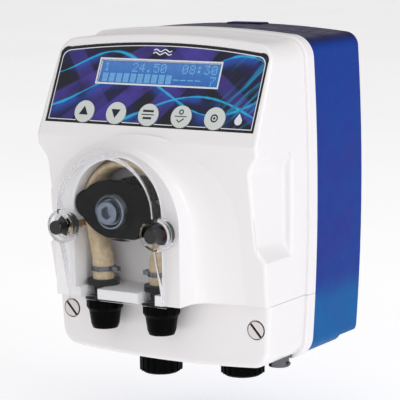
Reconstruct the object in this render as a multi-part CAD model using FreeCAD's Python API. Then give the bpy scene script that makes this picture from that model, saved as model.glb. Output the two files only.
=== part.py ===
"""Wall-mounted peristaltic dosing pump: white front housing with a sloping control panel,
blue rear housing on a wall bracket, pump head with a clear cover, and a terminal cover.

The design frame has x to the right, y to the rear and z up. Its y is 0 on the terminal
cover's front face and its z is 0 on the housing's underside. Every piece is moved on export
so that the origin is the centre of the four wall screws on the bracket's wall face.
"""
import FreeCAD, Part
import math
import os

V = FreeCAD.Vector
UP = V(0, 0, 1)
REARWARD = V(0, 1, 0)

# Overall housing, mm
WALL_Y = 90.0               # wall face of the bracket
MOUNT_Z = 78.0              # height of the wall screw pattern's centre
HALF_TOP = 58.0             # half width at the top corners
HALF_MID = 60.0             # half width at the bowed sides' middle
HALF_LOW = 56.5             # half width at the bottom corners
MID_Z = 76.0
TOP_CORNER_Z = 147.5
LOW_CORNER_Z = 2.5
TOP_Z = 151.0
CORNER_R = 9.0
WALL = 2.6

# Front housing
PARTING_Y = 38.0            # rear face of the front housing's flange
FLANGE_Y = 31.5
FLANGE_GROW = 1.8
SEAM_Z = 31.3               # underside of the front housing
SHELF = 2.0                 # thickness of the partition above the terminals
SEAM_Y = -2.5               # front face at the seam
RIDGE_Y = -12.9             # front face meets the panel bezel here
RIDGE_Z = 104.7
PANEL_LEAN = 24.6           # degrees the panel leans back
PANEL_WALL = 3.6
EDGE_R = 1.8                # rounding of the front edges
RECESS_X = 55.3             # floor of the hand hold
RECESS_Z = (59.5, 91.5)
RECESS_SLOPE = 16.0         # height over which the hand hold runs out of the wall
RECESS_REAR_Y = 18.0

# Control panel, in the panel's own axes: x across, v up the slope, n outwards
PANEL_Y = -10.2
PANEL_Z = 110.6
OVERLAY_HALF = 56.6
OVERLAY_CORNER_X = 51.8
OVERLAY_SIDE_V = 32.4
OVERLAY_CORNER_V = 37.0
OVERLAY_TOP_V = 40.4
OVERLAY_N = -0.4            # the overlay lies this far below the bezel
OVERLAY_T = 0.8
WINDOW_HALF = 32.75
WINDOW_V = (20.25, 31.6)
KEY_NAMES = ("key_up", "key_down", "key_menu", "key_enter", "key_set")
KEY_PITCH = 17.75
KEY_V = 5.66
KEY_R = 5.3
KEY_TRAVEL = 0.5
BOARD_N = -8.0
BOARD_POSTS = [(sx * 44.0, v) for sx in (-1, 1) for v in (9.0, 33.0)]

# Pump head
HEAD_X = -9.5
HEAD_Z = 73.0
HEAD_Y = -9.2               # middle plane of the hose
TRACK_R = 23.5
POCKET_BACK_Y = 2.0
POCKET_WALL = 2.5
FLOOR_Z = 36.0              # top of the pocket floor
BUMP_Y = -21.0              # front face of the head's surround
BUMP_LEFT = -43.5
BUMP_RIGHT = 24.2
BUMP_TOP = 100.5
HOSE_ARC_R = 20.8           # middle of the flattened hose
HOSE_LEG_X = 15.8           # legs' distance from the head's centre line
HOSE_R = 5.0
HOSE_BORE_R = 3.0
HOSE_END_Z = 38.8
CLAMP_Z = (42.6, 44.8)
PORT_R = 3.2                # entry bore for the pipe, in the connector nut
PORT_Z = 15.4               # underside of the connector nut
FLAT_HALF = (2.5, 6.95)     # half sizes of the flattened hose
FLAT_BORE = (0.6, 4.9)
ROLLER_R = 5.0
ROLLER_ORBIT = 13.0
ROLLER_PIN_R = 1.6
ROLLER_Y = (-17.3, -1.9)
ROTOR_TILT = -6.5           # degrees, rest angle of the rotor
ROTOR_Y = -20.6             # front face of the rotor's front plate
ROTOR_PLATE_T = 3.0
LOBE_R = 6.8                # round ends of the front plate
LOBE_ORBIT = 16.2
SHAFT_R = 4.0
COVER_R = 26.6
COVER_T = 2.2
COVER_Y = -31.0
COVER_LOW_Z = 30.5
COVER_LOW_Y = -23.0         # front of the sloping face's lower edge
COVER_BEND_Z = 62.0
THUMB_X = 26.0
THUMB_Z = 64.8
BOSS_R = 7.6                # cups of the clear cover round the thumb screws
BOSS_Y = -28.2
CUP_R = 6.2
CUP_Y = -25.2
COLLAR_ROOM_Y = -24.0
KNOB_R = 3.25
KNOB_Y = (-33.0, -26.0)

# Terminal area
TERMINAL_TOP = 31.1
TRAY_Z = (2.9, 5.9)
TRAY_BACK_Y = (35.3, 37.8)
COVER_SCREW_X = 51.0
COVER_SCREW_Z = 20.0
SCREW_HEAD_R = 4.0
SCREW_RECESS_R = 4.6
SCREW_RECESS_Y = 1.6
GLAND_Y = 25.0
GLANDS = {"left": (-17.3, 12.2), "right": (28.6, 8.2)}    # x, drop below the housing
GLAND_NUT_R = 9.9
GLAND_HOLE_R = 11.0
SOCKET_X = 46.5
SOCKET_Y = 28.0
SOCKET_END = -2.8

# Rear housing and bracket
REAR_FRONT_Y = 38.2
REAR_Y = 85.0
REAR_GROW = 0.6
REAR_WALL = 2.5
REAR_CORNER_R = 6.8
STEP_Y = 68.0               # the underside is raised from here to the rear
STEP_Z = 4.8
HOOK_X = 22.0
HOOK_Z = (106.0, 110.0)
WALL_SCREW_X = 25.0
WALL_SCREW_Z = 40.0
WALL_SCREW_R = 2.6
POSTS = [(sx * 49.0, z) for z in (11.5, 141.0) for sx in (-1, 1)]
SCREW_SEAT_Y = 46.0         # the housing screws' heads rest here, deep in the rear posts

# Gear train
MODULE = 0.6
SMALL_TEETH = 12
LARGE_TEETH = 48
GEAR_CENTRES = MODULE * (SMALL_TEETH + LARGE_TEETH) / 2
PRESSURE_ANGLE = math.radians(20)


# ---------------------------------------------------------------- basic shapes

def box(x0, x1, y0, y1, z0, z1):
    return Part.makeBox(x1 - x0, y1 - y0, z1 - z0, V(x0, y0, z0))


def rod_y(x, z, radius, y0, y1):
    return Part.makeCylinder(radius, y1 - y0, V(x, y0, z), REARWARD)


def rod_z(x, y, radius, z0, z1):
    return Part.makeCylinder(radius, z1 - z0, V(x, y, z0), UP)


def plate_yz(points, x0, x1):
    """Prism along x of a (y, z) polygon."""
    wire = Part.makePolygon([V(x0, y, z) for y, z in points + points[:1]])
    return Part.Face(wire).extrude(V(x1 - x0, 0, 0))


def plate_xz(points, y0, y1):
    """Prism along y of an (x, z) polygon."""
    wire = Part.makePolygon([V(x, y0, z) for x, z in points + points[:1]])
    return Part.Face(wire).extrude(V(0, y1 - y0, 0))


def turned_z(x, y, profile):
    """Solid of revolution about a vertical axis, from (radius, z) points."""
    wire = Part.makePolygon([V(x + r, y, z) for r, z in profile + profile[:1]])
    return Part.Face(wire).revolve(V(x, y, 0), UP, 360)


def turned_y(x, z, profile):
    """Solid of revolution about a front-to-rear axis, from (radius, y) points."""
    wire = Part.makePolygon([V(x + r, y, z) for r, y in profile + profile[:1]])
    return Part.Face(wire).revolve(V(x, 0, z), REARWARD, 360)


def hexagon_z(x, y, across_flats, z0, z1):
    radius = across_flats / math.sqrt(3)
    corners = [V(x + radius * math.cos(math.radians(60 * i)),
                 y + radius * math.sin(math.radians(60 * i)), z0) for i in range(7)]
    return Part.Face(Part.makePolygon(corners)).extrude(V(0, 0, z1 - z0))


def hexagon_y(x, z, across_flats, y0, y1):
    radius = across_flats / math.sqrt(3)
    corners = [V(x + radius * math.cos(math.radians(60 * i + 30)), y0,
                 z + radius * math.sin(math.radians(60 * i + 30))) for i in range(7)]
    return Part.Face(Part.makePolygon(corners)).extrude(V(0, y1 - y0, 0))


def smooth_step(t):
    t = min(max(t, 0.0), 1.0)
    return t * t * (3 - 2 * t)


def join(shapes):
    first, rest = shapes[0], list(shapes[1:])
    return first.fuse(rest).removeSplitter() if rest else first


def mirrored_pair(make):
    """The same shape made for the left and for the right side."""
    return [make(side) for side in (-1, 1)]


def edges_where(shape, test):
    return [edge for edge in shape.Edges if test(edge)]


def runs_along_y(edge):
    first, last = edge.Vertexes[0].Point, edge.Vertexes[-1].Point
    return abs(first.x - last.x) < 1e-6 and abs(first.z - last.z) < 1e-6 and abs(first.y - last.y) > 0.1


def tilted_frame(y, z, lean):
    """Placement whose x is across, y is up a face that leans back, and z is outwards."""
    return FreeCAD.Placement(V(0, y, z), FreeCAD.Rotation(V(1, 0, 0), 90 - lean))


PANEL = tilted_frame(PANEL_Y, PANEL_Z, PANEL_LEAN)


def on_frame(shape, frame):
    shape.Placement = frame.multiply(shape.Placement)
    return shape


def on_panel(shape):
    return on_frame(shape, PANEL)


# ---------------------------------------------------------------- housing outline

def outline_face(grow, y):
    """The bowed front outline: four shallow arcs between the corner points."""
    top_left = V(-HALF_TOP - grow, y, TOP_CORNER_Z + grow)
    top_right = V(HALF_TOP + grow, y, TOP_CORNER_Z + grow)
    low_right = V(HALF_LOW + grow, y, LOW_CORNER_Z - grow)
    low_left = V(-HALF_LOW - grow, y, LOW_CORNER_Z - grow)
    arcs = [Part.Arc(top_left, V(0, y, TOP_Z + grow), top_right),
            Part.Arc(top_right, V(HALF_MID + grow, y, MID_Z), low_right),
            Part.Arc(low_right, V(0, y, -grow), low_left),
            Part.Arc(low_left, V(-HALF_MID - grow, y, MID_Z), top_left)]
    return Part.Face(Part.Wire([arc.toShape() for arc in arcs]))


def outline_prism(grow, y0, y1, corner=None):
    body = outline_face(grow, y0).extrude(V(0, y1 - y0, 0))
    return body.makeFillet(corner or CORNER_R + grow, edges_where(body, runs_along_y))


def outline_ring(outer, inner, y0, y1):
    return outline_prism(outer, y0, y1).cut(outline_prism(inner, y0 - 1, y1 + 1))


def flange_ring():
    """Raised lip round the front pieces' rear edge."""
    lip = outline_prism(FLANGE_GROW, FLANGE_Y, PARTING_Y)
    lip = lip.makeFillet(0.8, edges_where(lip, lambda edge: edge.BoundBox.YMax < FLANGE_Y + 0.01))
    return lip.cut(outline_prism(-1.0, FLANGE_Y - 1, PARTING_Y + 1))


# ---------------------------------------------------------------- front housing

def front_slab():
    """The housing's upper body: outline cut to the side profile, with soft front edges."""
    bezel_top_z = 155.0
    bezel_top_y = RIDGE_Y + (bezel_top_z - RIDGE_Z) * math.tan(math.radians(PANEL_LEAN))
    profile = [(PARTING_Y, SEAM_Z), (SEAM_Y, SEAM_Z), (RIDGE_Y, RIDGE_Z),
               (bezel_top_y, bezel_top_z), (PARTING_Y, bezel_top_z)]
    slab = outline_prism(0, -20, PARTING_Y).common(plate_yz(profile, -70, 70))
    slab = slab.cut(mirrored_pair(lambda side: grip_recess(side, 0)))
    return slab.makeFillet(EDGE_R, front_edges(slab))


def front_edges(slab):
    """Edges round the front faces, apart from the seam edge along the bottom."""
    found = []
    for face in slab.Faces:
        normal = face.normalAt(0, 0)
        if face.Surface.TypeId == "Part::GeomPlane" and normal.y < -0.8:
            found += [edge for edge in face.Edges
                      if edge.BoundBox.ZMax > SEAM_Z + 0.5]
    unique = []
    for edge in found:
        if not any(edge.isSame(other) for other in unique):
            unique.append(edge)
    return unique


def grip_recess(side, grow):
    """Hand hold in the side wall, open to the front, easing out of the wall above and below."""
    floor_x, outer_x = RECESS_X - grow, 64.0
    low, high = RECESS_Z[0] - grow, RECESS_Z[1] + grow
    steps = 8
    shares = [i / steps for i in range(steps + 1)]
    reach = [floor_x + (outer_x - floor_x) * smooth_step(share) for share in shares]
    upper = [V(side * x, -30, high + RECESS_SLOPE * share) for x, share in zip(reach, shares)]
    lower = [V(side * x, -30, low - RECESS_SLOPE * share) for x, share in zip(reach, shares)]
    edges = [eased_curve(upper), eased_curve(lower),
             Part.makeLine(lower[0], upper[0]), Part.makeLine(lower[-1], upper[-1])]
    face = Part.Face(Part.Wire(Part.__sortEdges__(edges)))
    return face.extrude(V(0, 30 + RECESS_REAR_Y + grow, 0))


def eased_curve(points):
    """Smooth curve through points that leaves and arrives upright."""
    curve = Part.BSplineCurve()
    upright = V(0, 0, 1 if points[-1].z > points[0].z else -1)
    curve.interpolate(Points=points, InitialTangent=upright, FinalTangent=upright)
    return curve.toShape()


def front_y(z):
    """Depth of the sloping front face at a height."""
    return SEAM_Y + (RIDGE_Y - SEAM_Y) * (z - SEAM_Z) / (RIDGE_Z - SEAM_Z)


def bump_point(share, turn, inset):
    """Point on the head's surround: share 0 to 1 outwards, turn 0 to 1 round the arch."""
    height = share * (SEAM_Y - BUMP_Y)
    flare = math.exp(-height / 2.4)
    left = BUMP_LEFT - 12.5 * math.exp(-height / 6.0) + inset
    right = BUMP_RIGHT + 23 * flare - inset
    top = BUMP_TOP + 5 * flare - inset
    middle, half = (left + right) / 2, (right - left) / 2
    spring = BUMP_TOP - 34.0
    side_turn = 0.28
    along = min(turn, 1 - turn) / side_turn
    if along < 1:
        x = right if turn < 0.5 else left
        z = SEAM_Z + (spring - SEAM_Z) * along
    else:
        angle = math.pi * (turn - side_turn) / (1 - 2 * side_turn)
        x = middle + half * math.cos(angle)
        z = spring + (top - spring) * math.sin(angle)
    return V(x, front_y(z) + share * (BUMP_Y + inset - front_y(z)), z)


def flatten_rims(skin, back_share, inset):
    """Put the skin's edge poles exactly in the planes of the front, back and foot faces."""
    last_u, last_v = skin.NbUPoles, skin.NbVPoles
    for i in range(1, last_u + 1):
        for j in (1, last_v):
            pole = skin.getPole(i, j)
            skin.setPole(i, j, V(pole.x, pole.y, SEAM_Z))
    for j in range(1, last_v + 1):
        back, front = skin.getPole(1, j), skin.getPole(last_u, j)
        back_y = front_y(back.z) + back_share * (BUMP_Y + inset - front_y(back.z))
        skin.setPole(1, j, V(back.x, back_y, back.z))
        skin.setPole(last_u, j, V(front.x, BUMP_Y + inset, front.z))


def bump(inset):
    """Surround of the pump head, flaring smoothly into the front face."""
    rows, columns = 16, 50
    shares = [-0.04 + 1.04 * (i / rows) ** 1.8 for i in range(rows + 1)]
    grid = [[bump_point(share, j / columns, inset) for j in range(columns + 1)] for share in shares]
    skin = Part.BSplineSurface()
    skin.interpolate(grid)
    flatten_rims(skin, shares[0], inset)
    u0, u1, v0, v1 = skin.bounds()
    rim_back, rim_front = skin.uIso(u0).toShape(), skin.uIso(u1).toShape()
    foot_right, foot_left = skin.vIso(v0).toShape(), skin.vIso(v1).toShape()
    back_line = Part.makeLine(grid[0][-1], grid[0][0])
    front_line = Part.makeLine(grid[-1][-1], grid[-1][0])
    faces = [skin.toShape(), Part.Face(Part.Wire([rim_back, back_line])),
             Part.Face(Part.Wire([rim_front, front_line])),
             Part.Face(Part.Wire([foot_right, front_line, foot_left, back_line]))]
    shell = Part.makeShell(faces)
    shell.sewShape()
    swell = Part.makeSolid(shell.Shells[0])
    return swell.cut(mirrored_pair(lambda side: grip_recess(side, 0)))


def pocket(grow, y0, y1, z0):
    """Arch-shaped space of the pump head, or its wall when grown."""
    radius = TRACK_R + grow
    block = box(HEAD_X - radius, HEAD_X + radius, y0, y1, z0, HEAD_Z)
    return block.fuse(rod_y(HEAD_X, HEAD_Z, radius, y0, y1)).removeSplitter()


def bump_passage():
    """Opening round the pocket's wall that joins the surround's hollow to the space behind."""
    foot_z, head_z = SEAM_Z + SHELF, 102.0
    slanted = [(front_y(foot_z) - 1, foot_z), (front_y(foot_z) + WALL + 1, foot_z),
               (front_y(head_z) + WALL + 1, head_z), (front_y(head_z) - 1, head_z)]
    return pocket(POCKET_WALL + 2.0, -30, 10, foot_z).common(plate_yz(slanted, -70, 70))


def front_cavity():
    """Space behind the front housing's skin, open to the rear."""
    inner_seam_y = SEAM_Y + WALL
    lean = math.tan(math.radians(PANEL_LEAN))
    shift = PANEL_WALL / math.cos(math.radians(PANEL_LEAN))
    front_slope = (RIDGE_Y - SEAM_Y) / (RIDGE_Z - SEAM_Z)
    ridge_z = RIDGE_Y + shift - inner_seam_y - RIDGE_Z * lean + SEAM_Z * front_slope
    ridge_z /= front_slope - lean
    ridge_y = inner_seam_y + (ridge_z - SEAM_Z) * front_slope
    top_z = 155.0
    profile = [(PARTING_Y + 2, SEAM_Z + SHELF), (inner_seam_y, SEAM_Z + SHELF), (ridge_y, ridge_z),
               (RIDGE_Y + shift + (top_z - RIDGE_Z) * lean, top_z), (PARTING_Y + 2, top_z)]
    space = outline_prism(-WALL, -20, PARTING_Y + 2).common(plate_yz(profile, -70, 70))
    hollow_bump = bump(2.5).common(box(-70, 70, -40, 10, SEAM_Z + SHELF, 120))
    space = join([space, hollow_bump, bump_passage()])
    solid_zones = mirrored_pair(lambda side: grip_recess(side, WALL))
    solid_zones.append(pocket(POCKET_WALL, -30, POCKET_BACK_Y + POCKET_WALL, SEAM_Z))
    solid_zones += mirrored_pair(lambda side: rod_y(HEAD_X + side * THUMB_X, THUMB_Z, 5.0, -30, 0))
    solid_zones += [rod_y(x, z, 5.5, 20, PARTING_Y - 0.2) for x, z in POSTS[2:]]
    solid_zones += [on_panel(rod_n(x, v, 2.5, BOARD_N, 0)) for x, v in BOARD_POSTS]
    return space.cut(solid_zones)


def rod_n(x, v, radius, n0, n1):
    """Cylinder square to the panel, in the panel's axes."""
    return Part.makeCylinder(radius, n1 - n0, V(x, v, n0), UP)


def panel_block(x0, x1, v0, v1, n0, n1):
    return Part.makeBox(x1 - x0, v1 - v0, n1 - n0, V(x0, v0, n0))


def hose_notch(side):
    """Slot in the pocket floor that a hose connector slides into from the front."""
    x = HEAD_X + side * HOSE_LEG_X
    half = 4.7
    slot = box(x - half, x + half, -25, HEAD_Y, SEAM_Z - 1, FLOOR_Z + 1)
    return slot.fuse(rod_z(x, HEAD_Y, half, SEAM_Z - 1, FLOOR_Z + 1))


def front_housing():
    lip = flange_ring().cut(box(-70, 70, 0, 60, -10, SEAM_Z))
    shell = join([front_slab(), bump(0), lip])
    cuts = [front_cavity(),
            pocket(0, -30, POCKET_BACK_Y, FLOOR_Z),
            rod_y(HEAD_X, HEAD_Z, 6.0, 0, 10)]
    cuts += mirrored_pair(hose_notch)
    cuts += mirrored_pair(lambda side: rod_y(HEAD_X + side * THUMB_X, THUMB_Z, 2.9, -30, -8))
    cuts += [rod_y(x, z, 1.6, 22, 40) for x, z in POSTS[2:]]
    overlay_seat = overlay_outline(0.15).extrude(V(0, 0, 3))
    cuts.append(on_panel(overlay_seat.translated(V(0, 0, OVERLAY_N - OVERLAY_T))))
    cuts.append(on_panel(panel_block(-32.4, 32.4, 20.6, 31.3, -6, 0)))
    for x in key_columns():
        cuts.append(on_panel(rod_n(x, KEY_V, 5.6, -2.0, 0)))
        cuts.append(on_panel(rod_n(x, KEY_V, 2.1, -6, 0)))
    return shell.cut(cuts)


# ---------------------------------------------------------------- control panel

def key_columns():
    return [KEY_PITCH * (i - 2) for i in range(len(KEY_NAMES))]


def overlay_outline(grow):
    """Printed overlay: straight sides, small top corners and a shallow top arc."""
    half, corner_x = OVERLAY_HALF + grow, OVERLAY_CORNER_X + grow
    side_v, corner_v, top_v = OVERLAY_SIDE_V + grow, OVERLAY_CORNER_V + grow, OVERLAY_TOP_V + grow
    blend_x = half - (half - corner_x) * 0.22
    blend_v = corner_v - (corner_v - side_v) * 0.22
    right_corner = Part.Arc(V(half, side_v, 0), V(blend_x, blend_v, 0), V(corner_x, corner_v, 0))
    left_corner = Part.Arc(V(-corner_x, corner_v, 0), V(-blend_x, blend_v, 0), V(-half, side_v, 0))
    top = Part.Arc(V(corner_x, corner_v, 0), V(0, top_v, 0), V(-corner_x, corner_v, 0))
    edges = [Part.makeLine(V(-half, -grow, 0), V(half, -grow, 0)),
             Part.makeLine(V(half, -grow, 0), V(half, side_v, 0)),
             right_corner.toShape(), top.toShape(), left_corner.toShape(),
             Part.makeLine(V(-half, side_v, 0), V(-half, -grow, 0))]
    return Part.Face(Part.Wire(edges))


def control_panel():
    low_n = OVERLAY_N - OVERLAY_T
    low_v, high_v = WINDOW_V
    overlay = overlay_outline(0).extrude(V(0, 0, OVERLAY_T)).translated(V(0, 0, low_n))
    overlay = overlay.cut([rod_n(x, KEY_V, KEY_R + 0.2, -5, 5) for x in key_columns()])
    overlay = overlay.cut(panel_block(-WINDOW_HALF, WINDOW_HALF, low_v, high_v, -5, 5))
    window = panel_block(-WINDOW_HALF + 0.1, WINDOW_HALF - 0.1, low_v + 0.1, high_v - 0.1,
                         low_n, OVERLAY_N - 0.1)
    screen = panel_block(-32.2, 32.2, 20.8, 31.1, -3.4, low_n - 0.05)
    module = panel_block(-36, 36, 17.2, 34.7, -7.0, -3.7).fuse(panel_block(-30, 30, 19, 33, -8.0, -7.0))
    module = module.cut(panel_block(-32.0, 32.0, 21.0, 30.9, -3.9, 0))
    board = panel_block(-50, 50, 1.0, 37.0, BOARD_N - 1.6, BOARD_N)
    switches = []
    parts = {}
    for name, x in zip(KEY_NAMES, key_columns()):
        cap = rod_n(x, KEY_V, KEY_R, -1.3, 0.35)
        cap = cap.makeFillet(0.3, edges_where(cap, lambda edge: edge.BoundBox.ZMin > 0.3))
        parts[name] = join([cap, rod_n(x, KEY_V, 1.8, -6.2, -1.3)])
        body = panel_block(x - 3, x + 3, KEY_V - 3, KEY_V + 3, BOARD_N, BOARD_N + 0.9)
        switches.append(body.fuse(rod_n(x, KEY_V, 1.5, BOARD_N + 0.9, BOARD_N + 1.2)))
    parts.update(control_overlay=overlay, display_window=window, lcd_screen=screen,
                 lcd_module=module, control_board=board, key_switches=Part.makeCompound(switches))
    return {name: on_panel(shape) for name, shape in parts.items()}


# ---------------------------------------------------------------- terminal area

def slotted_screw(side):
    """Quarter-turn style screw that holds the terminal cover to a lug of the tray."""
    x, z = side * COVER_SCREW_X, COVER_SCREW_Z
    head = rod_y(x, z, SCREW_HEAD_R, -0.5, SCREW_RECESS_Y - 0.1)
    head = head.makeFillet(0.4, edges_where(head, lambda edge: edge.BoundBox.YMax < -0.4))
    slot = box(x - 5, x + 5, -1, 0.7, z - 0.65, z + 0.65)
    slot.rotate(V(x, 0, z), REARWARD, 48)
    stem = rod_y(x, z, 2.4, SCREW_RECESS_Y - 0.1, 12.0)
    keeper = rod_y(x, z, 3.4, 10.8, 12.0)
    return join([head, stem, keeper]).cut(slot)


def terminal_cover():
    outer = outline_prism(0, 0, PARTING_Y)
    outer = outer.makeFillet(2.5, edges_where(outer, lambda edge: edge.BoundBox.YMax < 0.01))
    outer = outer.fuse(flange_ring()).removeSplitter()
    keep = box(-70, 70, -5, 60, -10, TERMINAL_TOP)
    cover = outer.common(keep).cut(outline_prism(-2.5, 2.5, PARTING_Y + 2))
    cuts = [rod_z(x, GLAND_Y, GLAND_HOLE_R, -5, 5) for x, drop in GLANDS.values()]
    cuts.append(rod_z(SOCKET_X, SOCKET_Y, 6.0, -5, 12))
    for side in (-1, 1):
        cuts.append(rod_y(side * COVER_SCREW_X, COVER_SCREW_Z, SCREW_RECESS_R, -1, SCREW_RECESS_Y))
        cuts.append(rod_y(side * COVER_SCREW_X, COVER_SCREW_Z, 2.6, -1, 5))
    return cover.cut(cuts)


def tray_lug(side):
    """Ear with a slot open below, behind one cover screw, and its gusset."""
    gusset_x, outer_x = side * 43.5, side * 54.5
    ear = box(min(gusset_x, outer_x), max(gusset_x, outer_x), 8.0, 10.5, 14.0, 28.0)
    inner_x = side * 46.0
    gusset = box(min(gusset_x, inner_x), max(gusset_x, inner_x), 8.0, 36.0, 16.5, 28.0)
    slot_x, slot_z = side * COVER_SCREW_X, COVER_SCREW_Z
    slot = box(slot_x - 2.6, slot_x + 2.6, 7, 12, 0, slot_z).fuse(rod_y(slot_x, slot_z, 2.6, 7, 12))
    return ear.cut(slot).fuse(gusset)


def gland_tray():
    """Fixed floor of the terminal area, with its back wall, lugs and screw bosses."""
    inner = outline_prism(-2.9, 14.0, TRAY_BACK_Y[1])
    floor = inner.common(box(-70, 70, 0, 60, TRAY_Z[0], TRAY_Z[1]))
    back = inner.common(box(-70, 70, TRAY_BACK_Y[0], TRAY_BACK_Y[1], TRAY_Z[0], TERMINAL_TOP - 0.3))
    shapes = [floor, back] + mirrored_pair(tray_lug)
    shapes += [rod_y(x, z, 4.0, 20, TRAY_BACK_Y[1]) for x, z in POSTS[:2]]
    tray = join(shapes)
    cuts = [rod_z(x, GLAND_Y, 7.6, 0, 8) for x, drop in GLANDS.values()]
    cuts.append(rod_z(SOCKET_X, SOCKET_Y, 4.0, 0, 8))
    cuts += [rod_y(x, z, 1.6, 18, 40) for x, z in POSTS[:2]]
    return tray.cut(cuts)


def gland_body(x, drop):
    """Cable gland body with its inner lock nut."""
    end = 3.4 - drop
    sleeve = turned_z(x, GLAND_Y, [(4.0, end), (6.4, end), (6.4, -1.2), (7.5, -1.2),
                                   (7.5, 9.5), (4.0, 9.5)])
    collar = hexagon_z(x, GLAND_Y, 17.0, -1.2, 2.7).cut(rod_z(x, GLAND_Y, 5.0, -2, 3))
    lock_nut = hexagon_z(x, GLAND_Y, 17.5, 6.0, 9.0).cut(rod_z(x, GLAND_Y, 5.0, 5, 10))
    return join([sleeve, collar, lock_nut])


def gland_nut(x, drop):
    """Compression nut with a rounded rim and ribs round its skirt."""
    low, high = -drop, -1.5
    dome = turned_z(x, GLAND_Y, [(6.5, high), (GLAND_NUT_R, high), (GLAND_NUT_R, low + 2.4),
                                 (GLAND_NUT_R - 0.5, low + 0.8), (GLAND_NUT_R - 1.5, low), (4.6, low),
                                 (4.6, low + 1.6), (6.5, low + 2.6)])
    ribs = []
    for i in range(18):
        rib = box(x + GLAND_NUT_R - 0.6, x + GLAND_NUT_R + 0.4, GLAND_Y - 0.8, GLAND_Y + 0.8,
                  low + 1.2, high)
        rib.rotate(V(x, GLAND_Y, 0), UP, 20 * i)
        ribs.append(rib)
    return join([dome] + ribs)


def probe_socket():
    """Bayonet socket for the probe lead."""
    shell = turned_z(SOCKET_X, SOCKET_Y, [(3.9, 8.0), (3.9, 2.85), (5.2, 2.85), (5.2, 1.2), (4.8, 1.2),
                                          (4.8, SOCKET_END), (4.0, SOCKET_END), (4.0, 1.0), (1.9, 1.0),
                                          (1.9, -1.6), (1.0, -1.6), (1.0, 8.0)])
    pin = rod_z(SOCKET_X, SOCKET_Y, 1.0, -1.2, 8.0)
    lugs = Part.makeCylinder(0.9, 11.4, V(SOCKET_X - 5.7, SOCKET_Y, -1.2), V(1, 0, 0))
    lugs = lugs.cut(rod_z(SOCKET_X, SOCKET_Y, 4.4, -6, 2))
    return join([shell, pin, lugs])


def terminal_parts():
    blocks = []
    for x0 in (-34.0, 4.0):
        block = box(x0, x0 + 30, 24, TRAY_BACK_Y[0], 14, 25)
        holes = [rod_z(x0 + 3.75 + 7.5 * i, 28, 1.9, 20, 26) for i in range(4)]
        blocks.append(block.cut(holes))
    parts = {"terminal_cover": terminal_cover(), "gland_tray": gland_tray(),
             "terminal_blocks": Part.makeCompound(blocks), "probe_socket": probe_socket()}
    for side, name in ((-1, "left"), (1, "right")):
        x, drop = GLANDS[name]
        parts["gland_body_" + name] = gland_body(x, drop)
        parts["gland_nut_" + name] = gland_nut(x, drop)
        parts["cover_screw_" + name] = slotted_screw(side)
    return parts


# ---------------------------------------------------------------- rear housing and bracket

def rear_housing():
    outer = outline_prism(REAR_GROW, REAR_FRONT_Y, REAR_Y, REAR_CORNER_R)
    outer = outer.makeFillet(2.0, edges_where(outer, lambda edge: edge.BoundBox.YMin > REAR_Y - 0.01))
    outer = outer.cut(box(-80, 80, STEP_Y, 95, -5, STEP_Z))
    lug = box(-10, 10, 76, 84, 140, 152.2)
    lug = lug.makeFillet(1.2, edges_where(lug, lambda edge: edge.BoundBox.ZMin > 152))
    inner = outline_prism(REAR_GROW - REAR_WALL, REAR_FRONT_Y - 2, REAR_Y - REAR_WALL,
                          REAR_CORNER_R - REAR_WALL)
    inner = inner.cut(box(-80, 80, STEP_Y - REAR_WALL, 95, -5, STEP_Z + REAR_WALL))
    shell = outer.fuse(lug).cut(inner)
    posts = [rod_y(x, z, 4.5, 40, REAR_Y - 1) for x, z in POSTS]
    board_posts = [rod_y(sx * 38, z, 2.5, 76.6, REAR_Y - 1) for sx in (-1, 1) for z in (14, 44)]
    shell = join([shell] + posts + board_posts)
    cuts = [rod_y(x, z, 1.9, 38, 90) for x, z in POSTS]
    cuts += [rod_y(x, z, 3.7, SCREW_SEAT_Y, 90) for x, z in POSTS]
    cuts += mirrored_pair(hook_slot)
    return shell.cut(cuts)


def hook_slot(side):
    x = side * HOOK_X
    return box(x - 4.5, x + 4.5, REAR_Y - 8, 95, HOOK_Z[0] - 8, HOOK_Z[1] + 0.3)


def bracket_hook(side):
    x = side * HOOK_X
    stem = box(x - 4, x + 4, 79.9, 86, HOOK_Z[0], HOOK_Z[1])
    lip = box(x - 4, x + 4, 79.9, 82.2, HOOK_Z[0], HOOK_Z[1] + 5)
    return stem.fuse(lip)


def wall_bracket():
    plate = box(-35, 35, REAR_Y + 0.4, WALL_Y, 20, 148)
    plate = plate.makeFillet(5, edges_where(plate, runs_along_y))
    plate = join([plate] + mirrored_pair(bracket_hook))
    cuts = []
    for side in (-1, 1):
        for z in (MOUNT_Z - WALL_SCREW_Z, MOUNT_Z + WALL_SCREW_Z):
            cuts.append(rod_y(side * WALL_SCREW_X, z, WALL_SCREW_R, 80, 95))
    return plate.cut(cuts)


def housing_screw(x, z):
    head_y = SCREW_SEAT_Y + 0.05
    shape = rod_y(x, z, 3.3, head_y, head_y + 3).fuse(rod_y(x, z, 1.6, 24, head_y))
    cross = box(x - 2, x + 2, head_y + 1.8, head_y + 4, z - 0.5, z + 0.5)
    return shape.cut([cross, cross.rotated(V(x, 0, z), REARWARD, 90)])


def housing_parts():
    screws = [housing_screw(x, z) for x, z in POSTS]
    return {"front_housing": front_housing(),
            "rear_housing": rear_housing(),
            "housing_gasket": outline_ring(-2.1, -4.1, PARTING_Y, PARTING_Y + 1.8),
            "wall_bracket": wall_bracket(),
            "housing_screws": Part.makeCompound(screws)}


# ---------------------------------------------------------------- drive

def involute(angle_radius, base_radius):
    """Polar angle gained along an involute out to a radius."""
    swing = math.sqrt(max((angle_radius / base_radius) ** 2 - 1, 0))
    return swing - math.atan(swing)


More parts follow.
